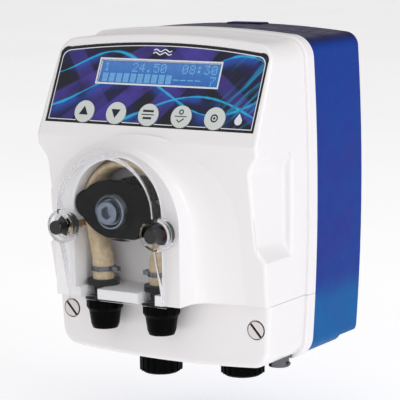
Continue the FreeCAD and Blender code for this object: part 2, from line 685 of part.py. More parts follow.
def gear(x, z, teeth, phase_deg, y0, y1):
    """Spur gear about an axis along y, with thinned teeth for running backlash."""
    pitch_r = MODULE * teeth / 2
    base_r = pitch_r * math.cos(PRESSURE_ANGLE)
    tip_r, root_r = pitch_r + 0.75 * MODULE, pitch_r - 1.15 * MODULE
    half_tooth = math.pi / (2 * teeth) * 0.84
    half_base = half_tooth + involute(pitch_r, base_r)
    start_r = max(base_r, root_r)
    radii = [start_r + (tip_r - start_r) * i / 3 for i in range(4)]
    flank = [(root_r, half_base - involute(start_r, base_r))]
    flank += [(r, half_base - involute(r, base_r)) for r in radii if r > root_r + 1e-6]
    tooth = [(r, -a) for r, a in flank] + [(r, a) for r, a in reversed(flank)]
    points = []
    for i in range(teeth):
        centre = math.radians(phase_deg) + 2 * math.pi * i / teeth
        points += [(x + r * math.cos(centre + a), z + r * math.sin(centre + a)) for r, a in tooth]
    return plate_xz(points, y0, y1)


def drive_gear():
    wheel = gear(HEAD_X, HEAD_Z, LARGE_TEETH, 0, 14, 19)
    web_cuts = [rod_y(HEAD_X + 9.5 * math.cos(math.radians(60 * i)),
                      HEAD_Z + 9.5 * math.sin(math.radians(60 * i)), 2.4, 13, 20) for i in range(6)]
    return wheel.cut(web_cuts + [rod_y(HEAD_X, HEAD_Z, SHAFT_R, 13, 20)])


def idler_gear():
    x = HEAD_X + GEAR_CENTRES
    small = gear(x, HEAD_Z, SMALL_TEETH, 180 / SMALL_TEETH, 13, 20)
    large = gear(x, HEAD_Z, LARGE_TEETH, 0, 21.8, 26)
    collar = rod_y(x, HEAD_Z, 4.6, 20, 21.8)
    return join([small, large, collar, rod_y(x, HEAD_Z, 1.5, 8.4, 29.6)])


def motor_pinion():
    pinion = gear(HEAD_X, HEAD_Z, SMALL_TEETH, 180 / SMALL_TEETH, 21.8, 26)
    return join([pinion, rod_y(HEAD_X, HEAD_Z, 2.0, 21.5, 44)])


def gearbox_case():
    x0, x1 = HEAD_X - 19, HEAD_X + GEAR_CENTRES + 18
    z0, z1 = HEAD_Z - 19, HEAD_Z + 19
    case = box(x0, x1, 8, 28, z0, z1)
    case = case.makeFillet(5, edges_where(case, runs_along_y))
    room = box(x0 + 2, x1 - 2, 10, 29, z0 + 2, z1 - 2)
    room = room.makeFillet(3, edges_where(room, runs_along_y))
    corner_bosses = [rod_y(x, z, 2.4, 10, 28) for x, z in gearbox_corners()]
    case = join([case.cut(room)] + corner_bosses)
    cuts = [rod_y(HEAD_X, HEAD_Z, 6.4, 7, 12), rod_y(HEAD_X + GEAR_CENTRES, HEAD_Z, 1.55, 7, 12)]
    cuts += [rod_y(x, z, 1.0, 18, 29) for x, z in gearbox_corners()]
    return case.cut(cuts)


def gearbox_corners():
    x0, x1 = HEAD_X - 19, HEAD_X + GEAR_CENTRES + 18
    return [(x, z) for x in (x0 + 3.2, x1 - 3.2) for z in (HEAD_Z - 15.8, HEAD_Z + 15.8)]


def gearbox_lid():
    x0, x1 = HEAD_X - 19, HEAD_X + GEAR_CENTRES + 18
    lid = box(x0, x1, 28, 30, HEAD_Z - 19, HEAD_Z + 19)
    lid = lid.makeFillet(5, edges_where(lid, runs_along_y))
    cuts = [rod_y(HEAD_X, HEAD_Z, 6.0, 27, 31), rod_y(HEAD_X + GEAR_CENTRES, HEAD_Z, 1.55, 27, 31)]
    cuts += [rod_y(x, z, 1.2, 27, 31) for x, z in gearbox_corners()]
    return lid.cut(cuts)


def gearbox_screw(x, z):
    head = rod_y(x, z, 2.0, 30, 31.6)
    return head.fuse(rod_y(x, z, 1.0, 20, 30)).cut(box(x - 1.6, x + 1.6, 31.0, 32, z - 0.3, z + 0.3))


def drive_parts():
    motor = turned_y(HEAD_X, HEAD_Z, [(2.05, 28.2), (5.9, 28.2), (5.9, 30.1), (18.0, 30.1), (19.0, 31.1),
                                      (19.0, 67.0), (18.0, 68.0), (6.0, 68.0), (6.0, 70.0), (0, 70.0),
                                      (0, 45.0), (2.05, 45.0)])
    shaft = rod_y(HEAD_X, HEAD_Z, SHAFT_R, -24, 20.5).cut(rod_y(HEAD_X, HEAD_Z, 2.5, -25, -13))
    bush = turned_y(HEAD_X, HEAD_Z, [(4.05, 7.0), (7.6, 7.0), (7.6, 8.0), (6.4, 8.0), (6.4, 12.0),
                                     (4.05, 12.0)])
    seal = turned_y(HEAD_X, HEAD_Z, [(4.05, 2.1), (5.95, 2.1), (5.95, 4.4), (4.6, 4.4), (4.6, 3.2),
                                     (4.05, 3.2)])
    board = box(-44, 44, 75.0, 76.6, 8, 50)
    coils = box(4, 40, 46, 75, 14, 46).cut([box(10, 34, 45, 76, 14, 18), box(10, 34, 45, 76, 42, 46)])
    capacitors = [rod_y(x, 20, 4.5, 61, 75) for x in (-34, -22, -10)]
    relays = [box(x, x + 12, 62, 75, 32, 46) for x in (-40, -22)]
    return {"motor": motor, "drive_shaft": shaft, "front_bush": bush, "shaft_seal": seal,
            "drive_gear": drive_gear(), "idler_gear": idler_gear(), "motor_pinion": motor_pinion(),
            "gearbox_case": gearbox_case(), "gearbox_lid": gearbox_lid(),
            "gearbox_screws": Part.makeCompound([gearbox_screw(x, z) for x, z in gearbox_corners()]),
            "power_board": board, "transformer": coils,
            "board_components": Part.makeCompound(capacitors + relays)}


# ---------------------------------------------------------------- pump head

def ellipse_plate(long_half, short_half, y0, y1):
    """Elliptical plate square to the shaft, its long axis across the rollers."""
    curve = Part.Ellipse(V(HEAD_X, y0, HEAD_Z) + V(long_half, 0, 0),
                         V(HEAD_X, y0, HEAD_Z) + V(0, 0, short_half), V(HEAD_X, y0, HEAD_Z))
    return Part.Face(Part.Wire([curve.toShape()])).extrude(V(0, y1 - y0, 0))


def roller_places():
    tilt = math.radians(ROTOR_TILT)
    across, rise = ROLLER_ORBIT * math.cos(tilt), ROLLER_ORBIT * math.sin(tilt)
    return {"roller_left": (HEAD_X - across, HEAD_Z - rise),
            "roller_right": (HEAD_X + across, HEAD_Z + rise)}


def rotor_lobe(side):
    """Round end of the front plate, over one roller."""
    lobe = rod_y(HEAD_X + side * LOBE_ORBIT, HEAD_Z, LOBE_R, ROTOR_Y, ROTOR_Y + ROTOR_PLATE_T)
    return lobe.makeFillet(0.6, edges_where(lobe, lambda edge: edge.BoundBox.YMax < ROTOR_Y + 0.1))


def rotor():
    front = ellipse_plate(20.5, 13.8, ROTOR_Y, ROTOR_Y + ROTOR_PLATE_T)
    front = front.makeFillet(0.8, edges_where(front, lambda edge: edge.BoundBox.YMax < ROTOR_Y + 0.1))
    hub = rod_y(HEAD_X, HEAD_Z, 7.4, -22.6, 0.4)
    rim = rod_y(HEAD_X, HEAD_Z, 8.6, -22.4, ROTOR_Y + 1)
    body = join([front, ellipse_plate(18.0, 13.0, -1.6, 0.4), hub, rim] + mirrored_pair(rotor_lobe))
    body.rotate(V(HEAD_X, 0, HEAD_Z), REARWARD, -ROTOR_TILT)
    cuts = [rod_y(x, z, ROLLER_PIN_R, -30, 5) for x, z in roller_places().values()]
    return body.cut(cuts + [rod_y(HEAD_X, HEAD_Z, SHAFT_R, -30, 5)])


def hub_washer():
    return turned_y(HEAD_X, HEAD_Z, [(2.6, -24.0), (5.6, -24.0), (7.0, -22.7), (8.4, -22.7), (8.4, -23.6),
                                     (7.7, -25.9), (7.0, -26.2), (5.9, -24.9), (2.6, -24.9)])


def hub_screw():
    head = rod_y(HEAD_X, HEAD_Z, 5.4, -28.4, -24.9)
    head = head.makeFillet(0.5, edges_where(head, lambda edge: edge.BoundBox.YMax < -28.3))
    head = head.cut(hexagon_y(HEAD_X, HEAD_Z, 5.2, -29, -25.8))
    return join([head, rod_y(HEAD_X, HEAD_Z, 2.5, -24.9, -14)])


def hose_ring(x, z, turn, half_thick, half_wide):
    """Ellipse across the hose; turn is the angle of its inward side, 0 on the left leg."""
    centre = V(x, HEAD_Y, z)
    inward = V(math.cos(turn), 0, math.sin(turn))
    edge = Part.Ellipse(centre + V(0, half_wide, 0), centre + inward * half_thick, centre).toShape()
    return Part.Wire([edge])


def leg_ring(side, z, flat, round_r):
    """Ring of one leg: flattened at the track's height, round where it meets the connector."""
    round_z, straight_z = 52.0, 45.0
    shape_t = smooth_step((HEAD_Z - z) / (HEAD_Z - round_z))
    place_t = smooth_step((HEAD_Z - z) / (HEAD_Z - straight_z))
    x = HEAD_X + side * (HOSE_ARC_R + (HOSE_LEG_X - HOSE_ARC_R) * place_t)
    half_thick = flat[0] + (round_r - flat[0]) * shape_t
    half_wide = flat[1] + (round_r + 0.002 - flat[1]) * shape_t
    return hose_ring(x, z, 0 if side < 0 else -math.pi, half_thick, half_wide)


def hose_body(flat, round_r, end_z):
    """Tube up the left leg, over the track and down the right leg."""
    heights = [end_z, 42.0, 45.0, 48.0, 51.0, 54.0, 57.0, 60.0, 63.0, 66.0, 69.0]
    rings = [leg_ring(-1, z, flat, round_r) for z in heights]
    steps = 12
    for i in range(steps + 1):
        turn = -math.pi * i / steps
        x, z = HEAD_X - HOSE_ARC_R * math.cos(turn), HEAD_Z - HOSE_ARC_R * math.sin(turn)
        rings.append(hose_ring(x, z, turn, flat[0], flat[1]))
    rings += [leg_ring(1, z, flat, round_r) for z in reversed(heights)]
    return Part.makeLoft(rings, True, False)


def pump_hose():
    bore = hose_body(FLAT_BORE, HOSE_BORE_R, HOSE_END_Z - 1)
    return hose_body(FLAT_HALF, HOSE_R, HOSE_END_Z).cut(bore)


def hose_clamp(side):
    """Spring band with its two pinched ears, which point to the middle of the head."""
    x, (low, high) = HEAD_X + side * HOSE_LEG_X, CLAMP_Z
    middle = (low + high) / 2
    groove = rod_z(x, HEAD_Y, 6, middle - 0.4, middle + 0.4).cut(rod_z(x, HEAD_Y, 5.3, low, high))
    band = rod_z(x, HEAD_Y, 5.7, low, high).cut([rod_z(x, HEAD_Y, 5.03, low - 1, high + 1), groove])
    ears = []
    for dy in (-1.4, 0.6):
        ear = box(min(x - side * 5.4, x - side * 8.6), max(x - side * 5.4, x - side * 8.6),
                  HEAD_Y + dy, HEAD_Y + dy + 0.8, low, high)
        ears.append(ear)
    return join([band] + ears)


def hose_connector(side):
    """Hose tail with its flange and slotted neck, held in the pocket floor."""
    x = HEAD_X + side * HOSE_LEG_X
    return turned_z(x, HEAD_Y, [(1.9, 45.0), (2.6, 45.0), (2.95, 43.0), (2.95, 38.6), (7.5, 38.6),
                                (7.5, 36.1), (4.5, 36.1), (4.5, 31.2), (8.3, 31.2), (8.3, 30.9),
                                (6.2, 30.9), (6.2, 21.5), (3.1, 21.5), (1.9, 24.0)])


def connector_nut(side):
    """Outer nut: fluted collar and tapered nose with the discharge hose's entry bore."""
    x = HEAD_X + side * HOSE_LEG_X
    nut = turned_z(x, HEAD_Y, [(6.3, 30.6), (8.6, 30.6), (8.6, 25.4), (8.0, 24.4), (7.5, 23.6),
                               (6.6, 17.2), (5.9, PORT_Z), (PORT_R, PORT_Z), (PORT_R, 20.5), (6.3, 21.2)])
    flutes = []
    for i in range(12):
        flute = rod_z(x + 9.0, HEAD_Y, 0.9, 24.9, 31)
        flute.rotate(V(x, HEAD_Y, 0), UP, 30 * i + 15)
        flutes.append(flute)
    return nut.cut(flutes)


def cover_outline(radius, y0, y1, low_z):
    """Arch-shaped block round the head, straight-sided below the shaft."""
    block = box(HEAD_X - radius, HEAD_X + radius, y0, y1, low_z, HEAD_Z)
    return block.fuse(rod_y(HEAD_X, HEAD_Z, radius, y0, y1)).removeSplitter()


def cover_slant(offset):
    """Wedge in front of the cover's lower, sloping face."""
    low_y = COVER_LOW_Y + offset
    bend_y = COVER_Y + offset
    wedge = [(bend_y, COVER_BEND_Z), (low_y, COVER_LOW_Z), (low_y, 10), (-60, 10), (-60, COVER_BEND_Z)]
    return plate_yz(wedge, HEAD_X - 40, HEAD_X + 40)


def clear_cover():
    rear_y = BUMP_Y - 0.1
    outer = cover_outline(COVER_R, COVER_Y, rear_y, COVER_LOW_Z).cut(cover_slant(0))
    outer = outer.makeFillet(1.2, edges_where(outer, lambda edge: edge.BoundBox.YMax < COVER_LOW_Y + 0.2
                                              and edge.BoundBox.ZMin > COVER_LOW_Z - 0.1))
    inner = cover_outline(COVER_R - COVER_T, COVER_Y + COVER_T, rear_y + 5, COVER_LOW_Z + COVER_T)
    inner = inner.cut(cover_slant(COVER_T * 1.03))
    scallops, bosses, holes = [], [], []
    for side in (-1, 1):
        x = HEAD_X + side * THUMB_X
        scallops.append(rod_y(x, THUMB_Z, BOSS_R, COVER_Y, COLLAR_ROOM_Y))
        bosses.append(rod_y(x, THUMB_Z, BOSS_R, BOSS_Y, rear_y))
        holes.append(rod_y(x, THUMB_Z, CUP_R, -40, CUP_Y))
        holes.append(rod_y(x, THUMB_Z, 2.2, -30, -15))
        holes.append(rod_y(x, THUMB_Z, 5.3, COLLAR_ROOM_Y, -15))
    return join([outer.cut(inner.cut(scallops))] + bosses).cut(holes)


def thumb_screw(side):
    """Knurled knob on a brass-coloured shank, with a captive collar in the cover's boss."""
    x = HEAD_X + side * THUMB_X
    knob_front, knob_rear = KNOB_Y
    knob = rod_y(x, THUMB_Z, KNOB_R, knob_front, knob_rear)
    knob = knob.makeFillet(0.6, edges_where(knob, lambda edge: edge.BoundBox.YMax < knob_front + 0.1))
    grooves = []
    for i in range(14):
        groove = rod_y(x + KNOB_R + 0.2, THUMB_Z, 0.32, knob_front + 0.8, knob_rear + 0.1)
        groove.rotate(V(x, 0, THUMB_Z), REARWARD, 360 * i / 14)
        grooves.append(groove)
    collar = rod_y(x, THUMB_Z, 5.0, -23.6, -21.4)
    return join([knob.cut(grooves), collar, rod_y(x, THUMB_Z, 2.0, knob_rear, -10.0)])


def threaded_insert(side):
    x = HEAD_X + side * THUMB_X
    return rod_y(x, THUMB_Z, 2.9, -20.9, -9).cut(rod_y(x, THUMB_Z, 2.05, -22, -8))


def head_parts():
    pins = [rod_y(x, z, ROLLER_PIN_R, ROTOR_Y + 0.3, 0.2) for x, z in roller_places().values()]
    parts = {"rotor": rotor(), "hub_washer": hub_washer(), "hub_screw": hub_screw(),
             "roller_pins": Part.makeCompound(pins), "pump_hose": pump_hose(),
             "hose_clamps": Part.makeCompound(mirrored_pair(hose_clamp)), "clear_cover": clear_cover(),
             "threaded_inserts": Part.makeCompound(mirrored_pair(threaded_insert))}
    for name, (x, z) in roller_places().items():
        bore_r, (y0, y1) = ROLLER_PIN_R + 0.05, ROLLER_Y
        parts[name] = turned_y(x, z, [(bore_r, y0), (ROLLER_R - 0.6, y0), (ROLLER_R, y0 + 0.6),
                                      (ROLLER_R, y1 - 0.6), (ROLLER_R - 0.6, y1), (bore_r, y1)])
    for side, name in ((-1, "left"), (1, "right")):
        parts["hose_connector_" + name] = hose_connector(side)
        parts["connector_nut_" + name] = connector_nut(side)
        parts["thumb_screw_" + name] = thumb_screw(side)
    return parts


# ---------------------------------------------------------------- export

def main():
    parts = {}
    for group in (housing_parts(), control_panel(), terminal_parts(), drive_parts(), head_parts()):
        parts.update(group)
    os.makedirs("parts", exist_ok=True)
    for name, shape in sorted(parts.items()):
        shape.translate(V(0, -WALL_Y, -MOUNT_Z))
        shape.exportStep("parts/" + name + ".step")
        state = "valid" if shape.isValid() else "INVALID"
        print(name, len(shape.Solids), "solids", round(shape.Volume), "mm3", state)


main()
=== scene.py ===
"""Looks of a wall-mounted peristaltic dosing pump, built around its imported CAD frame.

Lengths in this file are millimetres unless a comment says otherwise, and MM turns them into
the scene's metres. Colours are written as 0 to 255 screen values.
"""
import bmesh
import bpy
import math
from mathutils import Matrix, Vector


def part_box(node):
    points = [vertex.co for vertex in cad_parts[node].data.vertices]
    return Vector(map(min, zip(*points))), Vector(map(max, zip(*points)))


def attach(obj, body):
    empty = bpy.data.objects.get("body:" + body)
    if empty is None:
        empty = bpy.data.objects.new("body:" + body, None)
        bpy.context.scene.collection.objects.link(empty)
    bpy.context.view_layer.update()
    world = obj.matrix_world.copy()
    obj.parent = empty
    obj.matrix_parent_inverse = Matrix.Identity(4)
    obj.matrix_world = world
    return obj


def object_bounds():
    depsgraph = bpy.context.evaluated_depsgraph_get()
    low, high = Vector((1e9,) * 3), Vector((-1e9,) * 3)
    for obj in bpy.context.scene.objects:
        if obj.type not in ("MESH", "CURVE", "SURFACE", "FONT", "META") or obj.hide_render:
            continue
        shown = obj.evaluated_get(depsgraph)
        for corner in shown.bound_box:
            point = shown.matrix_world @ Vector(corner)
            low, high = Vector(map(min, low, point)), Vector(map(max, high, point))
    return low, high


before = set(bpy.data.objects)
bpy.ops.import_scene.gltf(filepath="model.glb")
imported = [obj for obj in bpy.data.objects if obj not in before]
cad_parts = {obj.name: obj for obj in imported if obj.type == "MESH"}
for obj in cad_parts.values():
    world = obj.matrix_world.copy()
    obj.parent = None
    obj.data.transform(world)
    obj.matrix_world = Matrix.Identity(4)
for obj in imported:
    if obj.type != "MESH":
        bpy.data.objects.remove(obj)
cad_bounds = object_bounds()

MM = 0.001

# Control panel, as the CAD builds it: x across, v up the slope, n outwards
PANEL_LEAN = math.radians(24.6)
OVERLAY_FRONT_N = -0.4
OVERLAY_BACK_N = -1.2
OVERLAY_HALF = 56.6
OVERLAY_CORNER_X = 51.8
OVERLAY_SIDE_V = 32.4
OVERLAY_CORNER_V = 37.0
OVERLAY_TOP_V = 40.4
WINDOW_HALF = 32.75
WINDOW_V = (20.25, 31.6)
SCREEN_FRONT_N = -1.25
KEY_NAMES = ("key_up", "key_down", "key_menu", "key_enter", "key_set")
KEY_V = 5.66
KEY_FRONT_N = 0.35
INK = 0.04                      # thickness of printed lines and symbols
BORDER_INSET = (1.25, 1.65)     # border line, from the overlay's edge
MARGIN = 1.5                    # width of the overlay's black edge
KEY_BREAK = 3.9                 # half of the border's break at a key
WINDOW_FRAME = 0.75             # width of the printed frame round the window
CLEAR_IOR = 1.21                # low, so the pale floor's mirror image stays faint in the cover

# Overlay artwork in panel millimetres. Beams: lean in radians, place, half width, strength.
# Ribbons: height, swing, wavelength, phase in radians, depth of the glow below the line.
BEAMS = ((-0.72, 19.0, 4.2, 0.9), (-0.72, 31.5, 2.0, 0.55), (-0.95, 2.0, 5.0, 0.8),
         (0.62, 38.0, 3.6, 0.6), (-0.5, 36.0, 3.0, 0.7), (0.9, -16.0, 4.0, 0.55))
RIBBONS = ((15.5, 8.5, 96.0, 2.55, 7.0), (29.5, 6.0, 70.0, 3.9, 6.0), (6.0, 9.5, 128.0, 0.35, 5.0))
STREAK_TURN = -0.72             # radians, lean of the fine streaks at the right
WAVE_MARK_V = (35.2, 36.7)
WAVE_MARK_LENGTH = 10.0
WAVE_MARK_SWING = 0.55
MARK_LINE = 0.55
DROP_MARK = (47.6, 5.2, 1.9)    # x, v and radius of the drop's round end
DROP_TIP = 3.6                  # its tip above the centre

# Colour changes of the blue housing, by height in the row frame: teal low down, and painted shade
# that turns the top navy
TEAL_Z = (-55.0, -41.0)
SHADED_TOP_Z = (65.0, 71.0)

# Thumb screws
KNOB_LENGTH = 7.1               # front part, always black
SHANK_R = 2.15

# Display characters
CELL_PITCH = 3.9
CELL_COUNT = 16
ROW_PITCH = 5.3
DOT_PITCH = 0.62
DOT = 0.5
DOT_T = 0.03
CELL_MARGIN = 0.55              # from a cell's left edge to its first dot
ROW_MARGIN = 1.1                # from the window's top to the first row

# Camera
AZIMUTH = math.radians(32.59)
ELEVATION = math.radians(8.96)
ROLL = math.radians(0.863)
CAMERA_PLACE = (0.49242, -0.82558, 0.13688)     # metres
CAMERA_LENS = 175.68
SENSOR = 36.0

# Studio: world strength, lamp powers in watts, and the floor's own glow
WORLD_STRENGTH = 0.47
WORLD_COLOUR = (1.0, 0.985, 0.98, 1.0)
KEY_LIGHT_COLOUR = (0.95, 0.975, 1.0)
KEY_LIGHT_POWER = 12.5
FILL_POWER = 4.5
TOP_POWER = 5.0
FLOOR_GLOW = 0.42
FLOOR_DROP = 0.034              # metres below the CAD's box, clear of the terminal cover slid off
FLOOR_REACH = 6.0               # metres
LIGHT_AIM = (0, -0.05, 0)       # metres


# ---------------------------------------------------------------- places

def panel_matrix():
    """Row frame from panel coordinates in millimetres, found from the overlay's own box."""
    low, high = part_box("control_overlay")
    y = low.y + OVERLAY_FRONT_N * MM * math.cos(PANEL_LEAN)
    z = low.z - OVERLAY_BACK_N * MM * math.sin(PANEL_LEAN)
    turn = Matrix.Rotation(math.pi / 2 - PANEL_LEAN, 4, "X")
    return Matrix.Translation((0, y, z)) @ turn @ Matrix.Scale(MM, 4)


PANEL = panel_matrix()


def middle(node):
    """Centre of a node's box, in metres."""
    low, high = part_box(node)
    return (low + high) / 2


# ---------------------------------------------------------------- materials

def paint(red, green, blue):
    """Linear colour from 0 to 255 screen values."""
    def linear(value):
        share = value / 255
        return share / 12.92 if share <= 0.04045 else ((share + 0.055) / 1.055) ** 2.4
    return (linear(red), linear(green), linear(blue), 1.0)


def shade(colour, factor):
    """The colour made darker or lighter."""
    return tuple(min(c * factor, 1.0) for c in colour[:3]) + (1.0,)


class Finish:
    """One node material. Its methods add nodes and return output sockets."""

    def __init__(self, name, space=None):
        self.material = bpy.data.materials.new(name)
        self.material.use_nodes = True
        self.tree = self.material.node_tree
        self.shader = self.tree.nodes["Principled BSDF"]
        coordinates = self.tree.nodes.new("ShaderNodeTexCoord")
        mapping = self.tree.nodes.new("ShaderNodeMapping")
        mapping.vector_type = "TEXTURE"
        place, turn, scale = (space or Matrix.Scale(MM, 4)).decompose()
        mapping.inputs["Location"].default_value = place
        mapping.inputs["Rotation"].default_value = turn.to_euler()
        mapping.inputs["Scale"].default_value = scale
        self.tree.links.new(coordinates.outputs["Object"], mapping.inputs["Vector"])
        self.place = mapping.outputs["Vector"]

    def put(self, socket, value):
        """Link a socket, or set its value."""
        if isinstance(value, bpy.types.NodeSocket):
            self.tree.links.new(value, socket)
        else:
            socket.default_value = value

    def set(self, **values):
        """Set the shader's inputs; Base_Color stands for Base Color."""
        for name, value in values.items():
            self.put(self.shader.inputs[name.replace("_", " ")], value)

    def axes(self):
        split = self.tree.nodes.new("ShaderNodeSeparateXYZ")
        self.put(split.inputs[0], self.place)
        return split.outputs[0], split.outputs[1], split.outputs[2]

    def math(self, operation, first, second=0.0):
        node = self.tree.nodes.new("ShaderNodeMath")
        node.operation = operation
        self.put(node.inputs[0], first)
        if len(node.inputs) > 1:
            self.put(node.inputs[1], second)
        return node.outputs[0]

    def remap(self, value, low, high, to_low=0.0, to_high=1.0):
        """Smooth, clamped change from one range to another."""
        node = self.tree.nodes.new("ShaderNodeMapRange")
        node.interpolation_type = "SMOOTHSTEP"
        for name, setting in (("Value", value), ("From Min", low), ("From Max", high),
                              ("To Min", to_low), ("To Max", to_high)):
            self.put(node.inputs[name], setting)
        return node.outputs["Result"]

    def mix(self, share, first, second):
        node = self.tree.nodes.new("ShaderNodeMix")
        node.data_type = "RGBA"
        self.put(node.inputs[0], share)
        self.put(node.inputs[6], first)
        self.put(node.inputs[7], second)
        return node.outputs[2]

    def noise(self, size, detail=2.0, stretch=(1, 1, 1), turn=(0, 0, 0)):
        """Noise whose features are about size across, longer where stretch is above 1."""
        vector = self.place
        if stretch != (1, 1, 1) or turn != (0, 0, 0):
            mapping = self.tree.nodes.new("ShaderNodeMapping")
            mapping.vector_type = "TEXTURE"
            mapping.inputs["Rotation"].default_value = turn
            mapping.inputs["Scale"].default_value = stretch
            self.put(mapping.inputs["Vector"], vector)
            vector = mapping.outputs["Vector"]
        node = self.tree.nodes.new("ShaderNodeTexNoise")
        self.put(node.inputs["Vector"], vector)
        node.inputs["Scale"].default_value = 1.0 / size
        node.inputs["Detail"].default_value = detail
        return node.outputs["Fac"]

    def bump(self, height, depth, strength=1.0):
        node = self.tree.nodes.new("ShaderNodeBump")
        node.inputs["Strength"].default_value = strength
        node.inputs["Distance"].default_value = depth * MM
        self.put(node.inputs["Height"], height)
        return node.outputs["Normal"]


def moulded(name, colour, roughness, grain=0.8, depth=0.01, spread=0.03, **sockets):
    """Injection-moulded plastic: slow tone drift, uneven gloss and a fine skin texture."""
    f = Finish(name)
    drift = f.noise(40.0, detail=3.0)
    f.set(Base_Color=f.mix(drift, shade(colour, 1 - spread), shade(colour, 1 + spread)))
    f.set(Roughness=f.remap(f.noise(7.0), 0.35, 0.65, roughness - 0.04, roughness + 0.05))
    f.set(Normal=f.bump(f.noise(grain), depth), **sockets)
    return f.material


def housing_blue():
    """Blue moulding with violet patches, teal low down, and painted shade that darkens the top to
    navy.
    """
    f = Finish("blue_moulding")
    x, y, z = f.axes()
    above = f.remap(z, *TEAL_Z)
    base = f.mix(above, paint(0, 92, 158), paint(18, 58, 144))
    patches = f.remap(f.noise(26.0, detail=4.0), 0.4, 0.7, 0.0, 0.6)
    patches = f.math("MULTIPLY", patches, f.remap(above, 0.0, 1.0, 0.3, 1.0))
    base = f.mix(patches, base, paint(38, 44, 134))
    # painted shade: the top of the housing is darkened to navy, as if in shadow
    f.set(Base_Color=f.mix(f.remap(z, *SHADED_TOP_Z), base, paint(8, 4, 62)))
    f.set(Roughness=f.remap(f.noise(6.0), 0.35, 0.65, 0.3, 0.4))
    f.set(Normal=f.bump(f.noise(0.7), 0.012), Specular_IOR_Level=0.05)
    return f.material


def clear_plastic(name, tint, roughness):
    """Clear moulding with faint flow marks and a slightly uneven surface."""
    f = Finish(name)
    flow = f.noise(9.0, detail=3.0, stretch=(1, 1, 3))
    f.set(Base_Color=f.mix(flow, shade(tint, 0.985), shade(tint, 1.01)))
    f.set(Roughness=f.remap(f.noise(14.0), 0.3, 0.7, roughness, roughness + 0.03))
    f.set(Normal=f.bump(flow, 0.008, 0.1), Transmission_Weight=1.0, IOR=CLEAR_IOR)
    return f.material


def hose_rubber():
    """Tan elastomer with mottling, browner worn streaks and a fine grain."""
    f = Finish("tan_elastomer")
    mottle = f.remap(f.noise(2.6, detail=4.0), 0.3, 0.75)
    tan = f.mix(mottle, paint(190, 166, 130), paint(216, 196, 162))
    worn = f.remap(f.noise(1.1, stretch=(1, 1, 4)), 0.62, 0.8, 0.0, 0.5)
    f.set(Base_Color=f.mix(worn, tan, paint(150, 120, 80)))
    f.set(Roughness=f.remap(mottle, 0.0, 1.0, 0.42, 0.6))
    f.set(Normal=f.bump(f.noise(0.5, detail=3.0), 0.04))
    f.set(Subsurface_Weight=0.15, Subsurface_Radius=(0.004, 0.002, 0.001), Subsurface_Scale=0.5)
    return f.material


def metal(name, colour, roughness, stretch=(1, 1, 1)):
    """Plated or turned metal with fine tool marks."""
    f = Finish(name)
    marks = f.noise(0.35, detail=3.0, stretch=stretch)
    f.set(Base_Color=f.mix(f.noise(4.0), shade(colour, 0.88), shade(colour, 1.05)))
    f.set(Roughness=f.remap(marks, 0.3, 0.7, roughness - 0.05, roughness + 0.1))
    f.set(Normal=f.bump(marks, 0.01), Metallic=1.0)
    return f.material


def cover_screw():
    """White moulded screw head; painted shade darkens its slot and its side, standing in for the
    shadow in the slot and in the gap round the head.
    """
    f = Finish("white_slotted_screw")
    x, y, z = f.axes()
    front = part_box("cover_screw_left")[0].y / MM
    # painted shade: behind the head's front face, the slot floor and the head's side turn dark
    slot_and_gap_shade = f.remap(y, front + 0.15, front + 0.6)
    f.set(Base_Color=f.mix(slot_and_gap_shade, paint(222, 216, 214), paint(44, 38, 36)))
    f.set(Roughness=f.remap(f.noise(2.0), 0.35, 0.65, 0.36, 0.46), Normal=f.bump(f.noise(0.6), 0.01))
    return f.material


def thumb_screw():
    """Black knurled knob and collar on a copper-coloured shank, told apart by place."""
    f = Finish("thumb_screw_black_and_copper")
    x, y, z = f.axes()
    left, right = middle("thumb_screw_left") / MM, middle("thumb_screw_right") / MM
    centre_x, reach = (left.x + right.x) / 2, (right.x - left.x) / 2
    across = f.math("SUBTRACT", f.math("ABSOLUTE", f.math("SUBTRACT", x, centre_x)), reach)
    rise = f.math("SUBTRACT", z, left.z)
    square = f.math("ADD", f.math("MULTIPLY", across, across), f.math("MULTIPLY", rise, rise))
    radius = f.math("SQRT", square)
    knob_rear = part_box("thumb_screw_left")[0].y / MM + KNOB_LENGTH
    behind = f.math("GREATER_THAN", y, knob_rear)
    shank = f.math("MULTIPLY", f.math("LESS_THAN", radius, SHANK_R), behind)
    black = f.mix(f.noise(3.0), paint(14, 14, 16), paint(30, 30, 33))
    f.set(Base_Color=f.mix(shank, black, paint(190, 110, 62)), Metallic=shank)
    f.set(Roughness=f.remap(f.noise(1.2), 0.3, 0.7, 0.34, 0.46))
    f.set(Normal=f.bump(f.noise(0.4), 0.02))
    return f.material


def band(f, x, v, angle, place, half, soft):
    """Straight band across the panel: 1 inside, fading over soft at its edges."""
    run = f.math("MULTIPLY", x, math.sin(angle))
    rise = f.math("MULTIPLY", v, math.cos(angle))
    across = f.math("ABSOLUTE", f.math("SUBTRACT", f.math("ADD", run, rise), place))
    return f.remap(across, half - soft, half + soft, 1.0, 0.0)


def wave_gap(f, x, v, height, swing, length, phase):
    """Distance of a point above a sine line."""
    angle = f.math("ADD", f.math("MULTIPLY", x, 2 * math.pi / length), phase)
    line = f.math("ADD", f.math("MULTIPLY", f.math("SINE", angle), swing), height)
    return f.math("SUBTRACT", v, line)


def overlay_margin(f, x, v):
    """1 in the black margin along the overlay's edge, 0 inside it."""
    sag = (OVERLAY_TOP_V - OVERLAY_CORNER_V) / OVERLAY_CORNER_X ** 2
    top = f.math("ADD", v, f.math("MULTIPLY", f.math("MULTIPLY", x, x), sag))
    beyond = f.math("MAXIMUM", f.math("SUBTRACT", f.math("ABSOLUTE", x), OVERLAY_HALF - MARGIN),
                    f.math("SUBTRACT", top, OVERLAY_TOP_V - MARGIN))
    beyond = f.math("MAXIMUM", beyond, f.math("SUBTRACT", MARGIN, v))
    return f.math("GREATER_THAN", beyond, 0.0)


